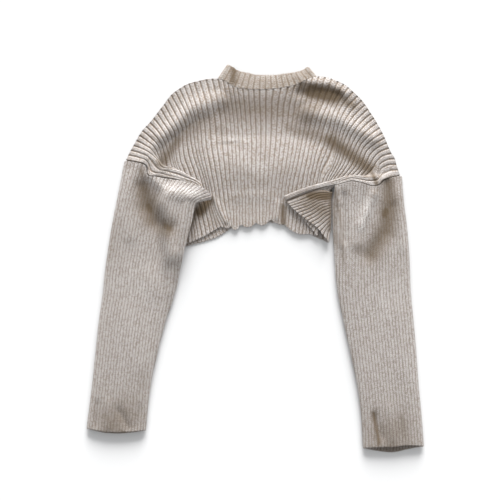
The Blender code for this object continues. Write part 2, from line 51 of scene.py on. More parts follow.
WALL = 2.4  # thickness of the knit
SEAM = 0.8  # the gap between two linked edges, wider or narrower by a factor in places
FLOOR = WALL / 2  # height of the middle of a layer that lies on the floor
FIRST = 5.0  # the same for the front, where it lies on the back
LAYER = 4.0  # from one layer of a pleat to the next
TOP = FIRST + 2 * LAYER
LAST_RIB = 31.5  # the ribs are numbered from -31.5 to 31.5 across each panel
LENGTH = 262.0  # down a rib, from the neckline to the hem

# Eight levels down a rib: top edge, yoke, chest, armhole, underarm, waist, skirt, hem.
LEVELS = np.arange(8) / 7

# Where a rib's point is on a pleat: before it, on its hidden fold, between its folds, on its
# visible fold, or past it.
BEFORE, FOLD, INSIDE, EDGE, PAST = 0, 1, 2, 3, 4
PLAIN = (BEFORE,) * 8
CROSSES = (BEFORE,) * 4 + (FOLD,) + (INSIDE,) * 3
ALONG = (BEFORE,) * 4 + (FOLD,) * 4
TO_HEM = (BEFORE,) * 7 + (FOLD,)
ON_EDGE = (PAST,) * 3 + (EDGE,) * 5
STRIP = (PAST,) * 8

# One row for each guiding rib: its number, where it is on the pleat, and (x, y) at each level.
FRONT_RIBS = (
    (-31.5, STRIP,
     (-232, 176), (-212, 172), (-194, 163), (-183, 146), (-151, 142), (-106, 117), (-134, 68), (-147, 15)),
    (-30, STRIP,
     (-226, 189), (-209, 184), (-193, 176), (-181, 158), (-148, 148), (-100, 119), (-122, 74), (-137, 19)),
    (-28.5, ON_EDGE,
     (-219, 202), (-204, 196), (-190, 188), (-178, 169), (-142, 155), (-94, 121), (-112, 79), (-127, 22)),
    (-25, ALONG,
     (-200, 233), (-185, 219), (-171, 202), (-166, 181), (-160, 157), (-146, 118), (-138, 71), (-139, 22)),
    (-24, PLAIN,
     (-193, 240), (-178, 224), (-166, 206), (-159, 185), (-151, 159), (-138, 123), (-129, 73), (-125, 25)),
    (-20, PLAIN,
     (-167, 273), (-155, 251), (-142, 228), (-141, 199), (-135, 166), (-122, 129), (-109, 84), (-99, 35)),
    (-16.5, PLAIN,
     (-144, 300), (-131, 274), (-119, 244), (-116, 212), (-109, 177), (-97, 140), (-86, 98), (-74, 48)),
    (-13, PLAIN,
     (-115, 316), (-103, 278), (-95, 238), (-92, 202), (-85, 165), (-77, 128), (-70, 91), (-54, 56)),
    (-8.5, PLAIN,
     (-67, 323), (-59, 285), (-53, 246), (-50, 206), (-47, 166), (-44, 129), (-40, 91), (-38, 53)),
    (-4, PLAIN,
     (-27, 305), (-23, 273), (-20, 238), (-18, 204), (-17, 166), (-16, 130), (-14, 94), (-14, 58)),
    (0, PLAIN,
     (14, 303), (14, 271), (15, 238), (15, 204), (13, 166), (12, 130), (11, 94), (11, 60)),
    (4, PLAIN,
     (66, 309), (58, 278), (54, 242), (50, 206), (45, 166), (40, 132), (37, 98), (33, 66)),
    (8.5, PLAIN,
     (115, 327), (104, 289), (94, 253), (85, 210), (76, 165), (68, 127), (63, 89), (59, 52)),
    (12, PLAIN,
     (155, 316), (140, 285), (126, 253), (112, 206), (101, 161), (94, 122), (88, 82), (82, 42)),
    (15, PLAIN,
     (181, 296), (160, 271), (147, 240), (131, 189), (114, 130), (109, 102), (105, 71), (101, 42)),
    (16.5, TO_HEM,
     (193, 284), (171, 261), (154, 227), (134, 158), (118, 104), (117, 82), (115, 60), (112, 39)),
    (18, CROSSES,
     (201, 272), (180, 251), (162, 221), (141, 158), (128, 106), (121, 87), (113, 68), (104, 49)),
    (20, CROSSES,
     (212, 256), (192, 238), (175, 213), (154, 162), (132, 114), (121, 97), (108, 79), (95, 59)),
    (24, CROSSES,
     (232, 220), (216, 210), (200, 197), (183, 161), (151, 127), (122, 113), (98, 98), (76, 83)),
    (27.5, CROSSES,
     (246, 188), (232, 184), (220, 174), (208, 156), (187, 141.5), (126, 127), (92, 115), (58, 102)),
    (28.5, ON_EDGE,
     (252, 178), (238, 176), (225, 168), (214, 152), (185, 149), (131, 136), (90, 124), (53, 110)),
    (30, STRIP,
     (256, 163), (242, 162), (229, 156), (217, 142), (185, 143), (133, 132), (92, 122), (55, 107)),
    (31.5, STRIP,
     (261, 148), (247, 145), (232, 140), (219, 129), (184, 136), (139, 130), (95, 119), (57, 104)),
)
# The hidden fold of each pleat, as (x, y, degrees, depth): the line where the cloth starts to
# turn, how far round it turns there, and how deep the pleat is from there to its visible fold.
RIGHT_PLEAT = (
    (104, -30, 180, 80), (110, 39, 180, 80), (114.2, 59, 180, 78), (118.6, 79, 180, 74), (123, 98, 180, 66),
    (126, 109, 180, 40), (129.5, 117, 180, 24), (134, 124, 180, 14), (142, 130.5, 180, 8),
    (152, 134.5, 180, 6), (170, 139.7, 180, 5), (190, 145.2, 150, 2), (208, 150, 100, 0),
    (222, 153.6, 60, 0), (240, 158.2, 35, 0), (258, 162.6, 12, 0), (290, 170, 0, 0),
)
LEFT_PLEAT = (
    (-137, -30, 180, 4), (-137, 22, 180, 8), (-136, 45, 180, 14), (-137, 71, 180, 22), (-140, 95, 180, 36),
    (-144, 118, 180, 47), (-150, 138, 180, 28), (-158, 155, 180, 10), (-162, 162.5, 150, 2),
    (-166, 170, 100, 0), (-172, 181, 70, 0), (-180, 196, 35, 0), (-190, 215, 10, 0), (-220, 270, 0, 0),
)
# The visible fold by itself, for the part of the strip that runs down to the hem, and where the
# guiding ribs are on it.
STRIP_EDGE = (
    (10, 95, 180, 400), (53, 108, 180, 400), (90, 122, 180, 400), (131, 134, 180, 400),
    (160, 141, 180, 400), (185, 147, 180, 400), (230, 158, 180, 400), (300, 174, 180, 400),
)
ON_STRIP = {24: PLAIN, 27.5: PLAIN, 28.5: (FOLD,) * 8, 30: (INSIDE,) * 8, 31.5: (INSIDE,) * 8}

# Soft ridges of the front, and troughs where the height is below 0: (x, y) of one end and of the
# other, half-width, height.
SWELLS = (
    (-60, 166, 80, 163, 44, 6.5),
    (-45, 304, 85, 304, 30, 4.5),
    (-62, 286, -115, 268, 17, 8.0),
    (-115, 268, -168, 218, 15, 9.0),
    (-168, 218, -196, 190, 11, 5.0),
    (85, 318, 135, 314, 10, 7.0),
    (135, 314, 162, 298, 9, 6.0),
    (95, 262, 150, 250, 16, 7.0),
    (150, 250, 212, 215, 14, 7.0),
    (80, 297, 150, 291, 8, -6.0),
    (-92, 238, -150, 204, 12, -6.0),
    (-150, 204, -170, 172, 9, -5.0),
    (-70, 230, 60, 229, 11, -4.5),
    (60, 229, 135, 206, 11, -5.0),
    (135, 206, 200, 162, 11, -4.5),
    (-64, 203, -28, 207, 3, -1.6),
    (-58, 197, -30, 200, 3, 1.6),
    (10, 172, 30, 178, 4, 1.2),
    (-40, 118, 30, 116, 18, 2.5),
    (40, 100, 40, 72, 5, 3.0),
    (50, 100, 51, 62, 5, -2.5),
    (-34, 92, -32, 60, 5, -2.5),
    (-76, 112, -54, 66, 5, 3.0),
)


def smooth(value):
    value = np.clip(value, 0.0, 1.0)
    return value * value * (3 - 2 * value)


def strongest(x, y, rows):
    """The largest and the smallest amount that rows of (x, y, x, y, half-width, amount) give at (x, y)."""
    most, least = np.zeros(np.shape(x)), np.zeros(np.shape(x))
    for x0, y0, x1, y1, half_width, amount in rows:
        along = ((x - x0) * (x1 - x0) + (y - y0) * (y1 - y0)) / ((x1 - x0) ** 2 + (y1 - y0) ** 2)
        along = np.clip(along, 0.0, 1.0)
        away = np.hypot(x - x0 - along * (x1 - x0), y - y0 - along * (y1 - y0))
        here = amount * np.exp(-((away / half_width) ** 2))
        most, least = np.maximum(most, here), np.minimum(least, here)
    return most, least


def swell(x, y, rows):
    """Height that the soft ridges and troughs add at (x, y). It never sinks into the layer below."""
    total = np.add(*strongest(x, y, rows))
    return 0.5 * (total + np.sqrt(total * total + 0.6)) - 0.3


def through(knots, values, at):
    """A smooth curve through values at knots, with little overshoot, read at the places given."""
    knots = np.asarray(knots, float)
    values = np.asarray(values, float)
    step = np.diff(knots).reshape((-1,) + (1,) * (values.ndim - 1))
    slope = np.diff(values, axis=0) / step
    tangent = np.concatenate([slope[:1], np.zeros_like(slope[1:]), slope[-1:]])
    if len(slope) > 1:
        middle = (step[1:] * slope[:-1] + step[:-1] * slope[1:]) / (step[1:] + step[:-1])
        limit = 1.6 * np.minimum(abs(slope[:-1]), abs(slope[1:]))
        tangent[1:-1] = np.clip(middle, -limit, limit)
    place = np.clip(np.asarray(at, float), knots[0], knots[-1])
    cell = np.clip(np.searchsorted(knots, place, side="right") - 1, 0, len(knots) - 2)
    width = (knots[cell + 1] - knots[cell]).reshape((-1,) + (1,) * (values.ndim - 1))
    u = ((place - knots[cell]) / (knots[cell + 1] - knots[cell])).reshape(width.shape)
    return ((1 + 2 * u) * (1 - u) ** 2 * values[cell] + u * (1 - u) ** 2 * width * tangent[cell]
            + u * u * (3 - 2 * u) * values[cell + 1] - u * u * (1 - u) * width * tangent[cell + 1])


class Fold:
    """A fold's line, and the places beside it as (along the line, over the cloth past the line)."""

    def __init__(self, rows, side, radius):
        rows = np.array(rows, float)
        chord = np.concatenate([[0], np.cumsum(np.hypot(*np.diff(rows[:, :2], axis=0).T))])
        at = np.linspace(0, chord[-1], 1500)
        self.line = through(chord, rows[:, :2], at)
        # The direction of the line, smoothed so that places beside a bend don't crowd together.
        self.run = np.gradient(self.line, axis=0)
        for _ in range(500):
            self.run[1:-1] = (self.run[:-2] + 2 * self.run[1:-1] + self.run[2:]) / 4
        self.run /= np.linalg.norm(self.run, axis=1, keepdims=True)
        self.kept = side * np.column_stack([-self.run[:, 1], self.run[:, 0]])
        self.along = np.concatenate([[0], np.cumsum(np.hypot(*np.diff(self.line, axis=0).T))])
        self.turn = np.radians(through(chord, rows[:, 2], at))
        self.depth = through(chord, rows[:, 3], at)
        self.radius = radius

    def shape(self, along):
        """Turn, radius and straight run of the pleat at these places along the line."""
        turn = np.maximum(np.interp(along, self.along, self.turn), 1e-3)
        depth = np.interp(along, self.along, self.depth)
        gentle = 5 * self.radius
        radius = np.minimum(2 * self.radius / (1 - np.cos(turn)), gentle)
        return turn, radius, depth

    def find(self, x, y, where):
        """(along, past) of the point (x, y) of the cloth, on the given part of the pleat."""
        apart = np.array((x, y)) - self.line
        ahead = (apart * self.run).sum(axis=1)
        off = (apart * self.kept).sum(axis=1)
        cross = np.nonzero((ahead[:-1] >= 0) & (ahead[1:] < 0))[0]
        i = cross[np.argmin(abs(off[cross]))]
        share = ahead[i] / (ahead[i] - ahead[i + 1])
        along = self.along[i] + share * (self.along[i + 1] - self.along[i])
        beyond = -(off[i] + share * (off[i + 1] - off[i]))
        turn, radius, depth = self.shape(along)
        arc = turn * radius
        end = 2 * arc + depth
        reach = 2 * radius * math.sin(turn) + depth * math.cos(turn)
        # Only where the cloth turns well over can a point past the line be on a layer of its own.
        if where == FOLD:
            return along, arc / 2
        if where == INSIDE:
            return along, arc - beyond
        if where == EDGE:
            return along, 1.5 * arc + depth
        if where == PAST and (turn > 1.5 or beyond > reach):
            return along, end + beyond - reach
        if where == PAST and beyond > 0:
            return along, end * beyond / reach
        return along, beyond

    def place(self, along, past):
        """The cloth's (x, y) and the height it has gained, at (along, past)."""
        turn, radius, depth = self.shape(along)
        arc = turn * radius
        first = np.clip(past, 0, arc) / radius
        second = np.clip(past - arc - depth, 0, arc) / radius
        straight = np.clip(past - arc, 0, depth)
        beyond = np.minimum(past, 0) + np.maximum(past - 2 * arc - depth, 0)
        beyond = beyond + radius * np.sin(first) + straight * np.cos(turn)
        beyond = beyond + radius * (np.sin(turn) - np.sin(turn - second))
        raised = radius * (1 - np.cos(first)) + straight * np.sin(turn)
        raised = raised + radius * (np.cos(turn - second) - np.cos(turn))
        base = [np.interp(along, self.along, self.line[:, i]) for i in (0, 1)]
        kept = [np.interp(along, self.along, self.kept[:, i]) for i in (0, 1)]
        size = np.hypot(*kept)
        return np.stack([base[i] - kept[i] / size * beyond for i in (0, 1)] + [raised], axis=-1)


def panel(rows, folds):
    """The middle of a panel's cloth, as a function of rib numbers and levels.

    folds: (fold, ribs over which its measure comes in, levels over which it does, its base height).
    """
    ribs = np.array([row[0] for row in rows], float)
    plan = np.array([row[2:] for row in rows], float)
    # Ribs that touch no pleat, and all those near the middle, also set out the cloth between.
    inner = np.array([set(row[1]) == {BEFORE} or abs(row[0]) < 17 for row in rows])
    measured = []
    for fold, over_ribs, over_levels, base in folds:
        outward = np.sign(over_ribs[1] - over_ribs[0])
        used = outward * (ribs - over_ribs[0]) >= -0.01
        wheres = [row[1] if base == 0 else ON_STRIP.get(row[0], PLAIN) for row in rows]
        pairs = [[fold.find(x, y, where) for (x, y), where in zip(rows[i][2:], wheres[i])]
                 for i in np.nonzero(used)[0]]
        measured.append((fold, over_ribs, over_levels, base, ribs[used], np.array(pairs)))

    def read(knots, grid, at_ribs, at_levels):
        across = through(knots, grid, np.clip(at_ribs, knots[0], knots[-1]))
        return through(LEVELS, across.transpose(1, 0, 2), at_levels).transpose(1, 0, 2)

    def middle(at_ribs, at_levels):
        at_ribs, at_levels = np.asarray(at_ribs, float), np.asarray(at_levels, float)
        flat = read(ribs[inner], plan[inner], at_ribs, at_levels)
        points = np.concatenate([flat, np.zeros(flat.shape[:2] + (1,))], axis=2)
        for fold, over_ribs, over_levels, base, knots, pairs in measured:
            share = smooth((at_ribs - over_ribs[0]) / (over_ribs[1] - over_ribs[0]))[:, None]
            if over_levels:
                share = share * smooth((at_levels - over_levels[0]) / (over_levels[1] - over_levels[0]))
            found = read(knots, pairs, at_ribs, at_levels)
            placed = fold.place(found[..., 0], found[..., 1]) + np.array((0, 0, base))
            points = points + (share * np.ones(points.shape[:2]))[..., None] * (placed - points)
        return points

    return middle


def front(at_ribs, at_levels):
    """The middle of the front's cloth, a little lower where the shoulders meet the back."""
    points = front_plan(at_ribs, at_levels)
    shoulder = smooth((abs(np.asarray(at_ribs)) - 8) / 2)[:, None] * (1 - smooth(7 * np.asarray(at_levels)))
    points[..., 2] += FIRST - shoulder + swell(points[..., 0], points[..., 1], SWELLS)
    return points


class Wire:
    """A socket of a material's nodes, with arithmetic that adds Math nodes."""

    def __init__(self, tree, socket=None):
        self.tree = tree
        self.socket = socket

    def node(self, kind, settings, inputs, output=0):
        """The output of a new node with these settings, and values or wires in its sockets."""
        made = self.tree.nodes.new(kind)
        for key, value in settings.items():
            setattr(made, key, value)
        for key, value in inputs.items():
            if isinstance(value, Wire):
                self.tree.links.new(value.socket, made.inputs[key])
            else:
                made.inputs[key].default_value = value
        return Wire(self.tree, made.outputs[output])

    def reckon(self, operation, *values):
        """The output of a Math node over these values."""
        return self.node("ShaderNodeMath", {"operation": operation}, dict(enumerate(values)))

    def floored(self):
        return self.reckon("FLOOR", self)

    def __add__(self, other):
        return self.reckon("ADD", self, other)

    def __sub__(self, other):
        return self.reckon("SUBTRACT", self, other)

    def __rsub__(self, other):
        return self.reckon("SUBTRACT", other, self)

    def __mul__(self, other):
        return self.reckon("MULTIPLY", self, other)

    def __truediv__(self, other):
        return self.reckon("DIVIDE", self, other)

    def __mod__(self, other):
        return self.reckon("FLOORED_MODULO", self, other)

    def __abs__(self):
        return self.reckon("ABSOLUTE", self)

    __radd__ = __add__
    __rmul__ = __mul__

    def eased(self, low, high):
        """0 below low, 1 above high, and a smooth step between."""
        return self.node(
            "ShaderNodeMapRange",
            {"interpolation_type": "SMOOTHSTEP"},
            {"Value": self, "From Min": low, "From Max": high},
        )

    def mixed(self, first, second):
        """The first colour where this is 0 and the second where it is 1."""
        return self.node("ShaderNodeMix", {"data_type": "RGBA"}, {0: self, 6: first, 7: second}, 2)


def rib_knit(name, light, warm, furrow, stitch, lines, heather=0.35, middle=0.0, spread=1.0):
    """Heathered wool in rib: V stitches `stitch` mm high up each rib, painted shade in the furrows between
    ribs.

    lines: how dark the painted shade in the furrows is at the rib numbered middle, where the knit
    is closed, and `spread` ribs away, where it is stretched open; it is closed again at the sides.
    heather: how much one stitch differs from the next.
    """
    # A pale painted highlight colour, and a dark warm painted shade colour.
    pale, painted_shade = (0.72, 0.69, 0.67, 1), (0.105, 0.07, 0.036, 1)
    material = bpy.data.materials.new(name)
    material.use_nodes = True
    tree = material.node_tree
    surface = tree.nodes["Principled BSDF"]
    surface.inputs["Roughness"].default_value = 0.92
    surface.inputs["Specular IOR Level"].default_value = 0.18
    surface.inputs["Sheen Weight"].default_value = 0.12
    surface.inputs["Sheen Roughness"].default_value = 0.6
    start = Wire(tree)
    at = start.node("ShaderNodeUVMap", {"uv_map": "ribs"}, {})
    rib = start.node("ShaderNodeSeparateXYZ", {}, {"Vector": at}, "X")
    height = start.node("ShaderNodeSeparateXYZ", {}, {"Vector": at}, "Y")
    place = start.node("ShaderNodeTexCoord", {}, {}, "Object")
    from_top = abs(2 * (rib % 1.0) - 1)
    in_furrow = from_top.eased(0.55, 1.0)
    uneven = start.node("ShaderNodeTexNoise", {}, {"Vector": place, "Scale": 90.0, "Detail": 2.0})
    own = start.node("ShaderNodeTexWhiteNoise", {"noise_dimensions": "1D"}, {"W": rib.floored()})
    row = height / stitch + 0.9 * from_top + 0.8 * uneven + own
    leg = row % 1.0
    bulge = 4 * leg * (1 - leg)
    split = 1 - from_top.eased(0.0, 0.2)
    knot = start.node("ShaderNodeCombineXYZ", {}, {"X": (2 * rib).floored(), "Y": row.floored()})
    each = start.node("ShaderNodeTexWhiteNoise", {"noise_dimensions": "2D"}, {"Vector": knot})
    grit = start.node("ShaderNodeTexNoise", {}, {"Vector": place, "Scale": 330.0, "Detail": 1.0})
    fibre = start.node("ShaderNodeTexNoise", {}, {"Vector": place, "Scale": 520.0, "Detail": 3.0})
    cloud = start.node("ShaderNodeTexNoise", {}, {"Vector": place, "Scale": 14.0, "Detail": 3.0})
    # The mesh's attribute of painted shade (above 0) and painted highlight (below 0), with a random cloud
    # of tone added; the pale colour mixed in below is a painted highlight.
    painted_shading = start.node("ShaderNodeAttribute", {"attribute_name": "painted_shading"}, {}, "Fac")
    tone = painted_shading + 0.35 * (cloud - 0.5)
    ground = (0 - tone).eased(0.1, 0.6).mixed(light, pale)
    # Heather flecks of the wool, with painted shade between the stitch rows where each leg's bulge ends.
    mottle = heather * (each - 0.5) + 1.2 * fibre + 1.6 * grit - 0.6 * bulge * (1 - in_furrow)
    flecked = (0.7 * (mottle - 0.72).eased(0.0, 0.85)).mixed(ground, warm)
    aside = abs(rib - middle)
    opened = aside.eased(0.2 * spread, spread) * (1 - aside.eased(1.24 * spread, 1.3 * spread))
    # Painted shade in the furrows, and a thinner painted shade line down each rib's split.
    line = in_furrow * (lines[0] + (lines[1] - lines[0]) * opened) + 0.1 * split
    lined = line.mixed(flecked, furrow)
    # Painted shade: the wool is darkened towards a warm brown where the attribute is high.
    colour = (0.93 * tone.eased(-0.1, 1.15)).mixed(lined, painted_shade)
    tree.links.new(colour.socket, surface.inputs["Base Color"])
    relief = 0.45 * bulge * (1 - in_furrow) - 0.3 * split + 0.7 * fibre
    bump = start.node("ShaderNodeBump", {}, {"Strength": 0.8, "Distance": 0.0016, "Height": relief})
    tree.links.new(bump.socket, surface.inputs["Normal"])
    return material


def grid_faces(rows, columns, closed):
    """Quads of a shell of two grids of points, `closed` joining its last row to its first."""
    outer, inner = np.arange(2 * rows * columns).reshape(2, rows, columns)
    first = np.arange(rows if closed else rows - 1)
    then = (first + 1) % rows
    corners = [
        (outer[first, :-1], outer[first, 1:], outer[then, 1:], outer[then, :-1]),
        (inner[first, :-1], inner[then, :-1], inner[then, 1:], inner[first, 1:]),
        (outer[first, 0], outer[then, 0], inner[then, 0], inner[first, 0]),
        (outer[then, -1], outer[first, -1], inner[first, -1], inner[then, -1]),
    ]
    if not closed:
        corners.append((outer[0, 1:], outer[0, :-1], inner[0, :-1], inner[0, 1:]))
        corners.append((outer[-1, :-1], outer[-1, 1:], inner[-1, 1:], inner[-1, :-1]))
    return np.concatenate([np.stack([ends.ravel() for ends in four], axis=1) for four in corners])


def rib_numbers(quads, across, along, ribs, closed):
    """The rib number at each face corner, from the face's own side where a tube's layers meet."""
    rows, columns = len(across), len(along)
    begin = ribs(across + 1e-6, along)
    ends = np.concatenate([across[1:], [across[0] + 2.0]]) if closed else across[1:]
    finish = ribs(ends - 1e-6, along)
    at_row, at_column = quads % (rows * columns) // columns, quads % columns
    home = at_row.min(axis=1)[:, None]
    wrapped = closed & ((at_row.max(axis=1)[:, None] - home) > 1)
    home = np.where(wrapped, rows - 1, home)
    last = len(finish) - 1
    return np.where(at_row == home, begin[home, at_column], finish[np.minimum(home, last), at_column])


def rounded(distance):
    """The height of a quarter circle, from 0 at an edge to 1 where the distance from it reaches 1."""
    return np.sqrt(1 - (1 - np.clip(distance, 0, 1)) ** 2)


def knitted(name, middle, across, along, ribs, length, material, shading_patches=(), deep=1.7,
            closed=False, face=1, bow=2.0, hem=((0, 0), (1, 0))):
    """One piece of rib knit as a closed shell, ribs and furrows on its outer face only.

    ribs(across, along): the rib number, whole in the furrows. length: down a rib. deep: how far a
    furrow sinks where the ribs are 7.5 mm apart. shading_patches: painted shade, and painted
    highlight where the amount is below 0, as rows of (x, y, x, y, half-width, amount). bow: how far
    each rib's end stands out at the last row. hem: how far the edge there waves, as (rib number, mm).
    """
    across, along = np.asarray(across, float), np.asarray(along, float)
    small = 1e-3 * (across[-1] - across[0])
    points = middle(across, along)
    run = middle(across, along + 1e-3) - middle(across, along - 1e-3)
    rise = middle(across + small, along) - middle(across - small, along)
    normal = np.cross(run, rise)
    normal /= np.maximum(np.linalg.norm(normal, axis=2, keepdims=True), 1e-9)
    number = ribs(across, along)
    counted = abs(ribs(across + small / 2, along) - ribs(across - small / 2, along))
    counted = np.where(counted > 1, counted.min(), counted)
    pitch = np.linalg.norm(rise, axis=2) / (2 * counted)
    deep = deep * np.clip(pitch / 7.5, 0.25, 1.1)
    top = (1 - abs(2 * (number % 1.0) - 1) ** 2.2) ** 0.75
    rim = rounded(np.minimum(along, 1 - along) * length / (0.6 * WALL))[None, :] * np.ones_like(top)
    if not closed:
        side = np.minimum(across - across[0], across[-1] - across) * 5.0
        rim = rim * (0.3 + 0.7 * rounded(side))[:, None]
    # A sewn edge stays nearly as thick as the rest, and a free one is rounded off.
    thin = np.where(along < 0.5, 0.85, 0.35)[None, :]
    half = WALL / 2 * (thin + (1 - thin) * rim)
    onward = run / np.maximum(np.linalg.norm(run, axis=2, keepdims=True), 1e-9)
    near_end = smooth(1 - (1 - along) * length / 9.0)
    waved = np.interp(number, *zip(*hem)) * smooth(1 - (1 - along) * length / 30.0)
    points = points + onward * (bow * (top - 0.5) * near_end + waved)[..., None]
    outer = points + face * normal * (half - deep * (1 - top) * rim)[..., None]
    inner = points - face * normal * half[..., None]
    quads = grid_faces(len(across), len(along), closed)
    if face < 0:
        quads = quads[:, ::-1]
    vertices = np.concatenate([outer.reshape(-1, 3), inner.reshape(-1, 3)])
    mesh = bpy.data.meshes.new(name)
    mesh.vertices.add(len(vertices))
    mesh.vertices.foreach_set("co", (vertices * MM).ravel())
    mesh.loops.add(quads.size)
    mesh.loops.foreach_set("vertex_index", quads.ravel())
    mesh.polygons.add(len(quads))
    mesh.polygons.foreach_set("loop_start", np.arange(0, quads.size, 4))
    mesh.update(calc_edges=True)
    numbers = rib_numbers(quads, across, along, ribs, closed)
    pairs = np.stack([numbers, along[quads % len(along)] * length], axis=-1)
    mesh.uv_layers.new(name="ribs").uv.foreach_set("vector", pairs.astype(np.float32).ravel())
    # Painted shade (amount above 0) and painted highlight (below 0) at each vertex, kept in an attribute
    # for the wool's colour.
    tone = np.add(*strongest(vertices[:, 0], vertices[:, 1], shading_patches))
    mesh.attributes.new("painted_shading", "FLOAT", "POINT").data.foreach_set("value", tone)
    mesh.materials.append(material)
    mesh.shade_smooth()
    piece = bpy.data.objects.new(name, mesh)
    bpy.context.scene.collection.objects.link(piece)
    return piece


def merge(*lists):
    """Sorted values with near repeats taken out."""
    values = np.unique(np.round(np.concatenate([np.atleast_1d(v) for v in lists]), 5))
    return values[np.concatenate([[True], np.diff(values) > 0.0008])]


def rib_steps(first, last, inside=(0.0, 0.14, 0.36, 0.64, 0.86)):
    """Places across the ribs from first to last: the furrow, and the given shares of each rib."""
    whole = np.arange(first, last, 1.0)
    return np.concatenate([(whole[:, None] + np.array(inside)).ravel(), [last]])


def body_ribs(across, along):
    """Ribs of a body panel, counted from its left side."""
    return np.repeat((np.asarray(across) + LAST_RIB)[:, None], len(along), axis=1)


right_pleat = Fold(RIGHT_PLEAT, 1, LAYER / 2)
left_pleat = Fold(LEFT_PLEAT, -1, LAYER / 2)
strip_edge = Fold(STRIP_EDGE, -1, LAYER / 2)
front_plan = panel(FRONT_RIBS, (
    (right_pleat, (8.5, 15), None, 0),
    (left_pleat, (-13, -20), None, 0),
    (strip_edge, (24, 27), (4.55 / 7, 5 / 7), LAYER),
))

# Painted shade, and painted highlight where the amount is below 0: (x, y) of one end and of the
# other, half-width, amount.
FRONT_PAINTED_SHADING = (
    (-50, 272, 90, 266, 36, 0.56),
    (-84, 254, -140, 218, 18, 0.5),
    (-60, 318, 84, 314, 17, 0.36),
    (84, 306, 100, 300, 17, 0.8),
    (-140, 214, -170, 168, 12, 0.8),
    (-60, 232, -92, 243, 16, 0.4),
    (100, 301, 146, 292, 15, 1.35),
    (146, 292, 178, 274, 10, 0.8),
    (60, 305, 95, 302, 15, 0.5),
    (60, 236, 135, 212, 14, 0.5),
    (135, 212, 205, 160, 14, 0.95),
    (-84, 101, -100, 82, 11, 1.25),
    (-52, 204, -20, 200, 4, 0.4),
    (-48, 214, -14, 210, 5, -0.45),
    (-34, 186, 10, 160, 24, -0.3),
    (-160, 208, -120, 262, 12, -0.3),
    (128, 258, 206, 196, 10, -0.3),
    (-32, 153, -10, 148, 4, 0.35),
    (2, 190, 24, 180, 4, 0.35),
    (-108, 78, -122, 50, 9, 0.8),
    (-86, 108, -70, 62, 8, 0.4),
    (190, 137, 110, 127, 5, -0.5),
    (-150, 148, -110, 128, 5, -0.3),
    (-64, 276, -120, 262, 9, -0.2),
    (50, 92, 51, 58, 6, 0.85),
    (212, 150, 219, 132, 5, 0.9),
    (190, 172, 216, 152, 12, 0.4),
    (-150, 132, -105, 112, 10, 0.3),
)
# How far the hem waves past its line, as (rib number from the left, mm).
HEM = (
    (14, 0), (17, -2), (18.5, 3), (20, 4), (21.4, -3), (22.6, 3), (24.2, 3.5), (25.5, -3.5),
    (27, 3), (28.6, 3.5), (30, -3), (31.6, 2.5), (33.2, 2.5), (34.6, -3), (36, 2.5), (37.4, 2),
    (38.8, -3.5), (41, 0), (63, 0),
)
body_wool = rib_knit("body_wool", light=(0.52, 0.485, 0.465, 1), warm=(0.235, 0.17, 0.115, 1),
                     furrow=(0.12, 0.082, 0.05, 1), stitch=4.8, lines=(0.46, 0.72), heather=0.5,
                     middle=LAST_RIB, spread=22.0)
# Steps are closer at the edges, near the level of the underarm, and across the left pleat.
fold_rows = (4 + np.linspace(-0.45, 0.45, 31)) / 7
front_rows = merge((0, 0.002, 0.005), np.linspace(0.01, 0.99, 92), fold_rows, (0.995, 0.998, 1))
front_across = merge(rib_steps(-LAST_RIB, LAST_RIB), np.linspace(-29.2, -24, 50))
front_panel = knitted("front_rib", front, front_across, front_rows, body_ribs, LENGTH, body_wool,
                      FRONT_PAINTED_SHADING, deep=1.9, hem=HEM)
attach(front_panel, "root")
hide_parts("front_panel")

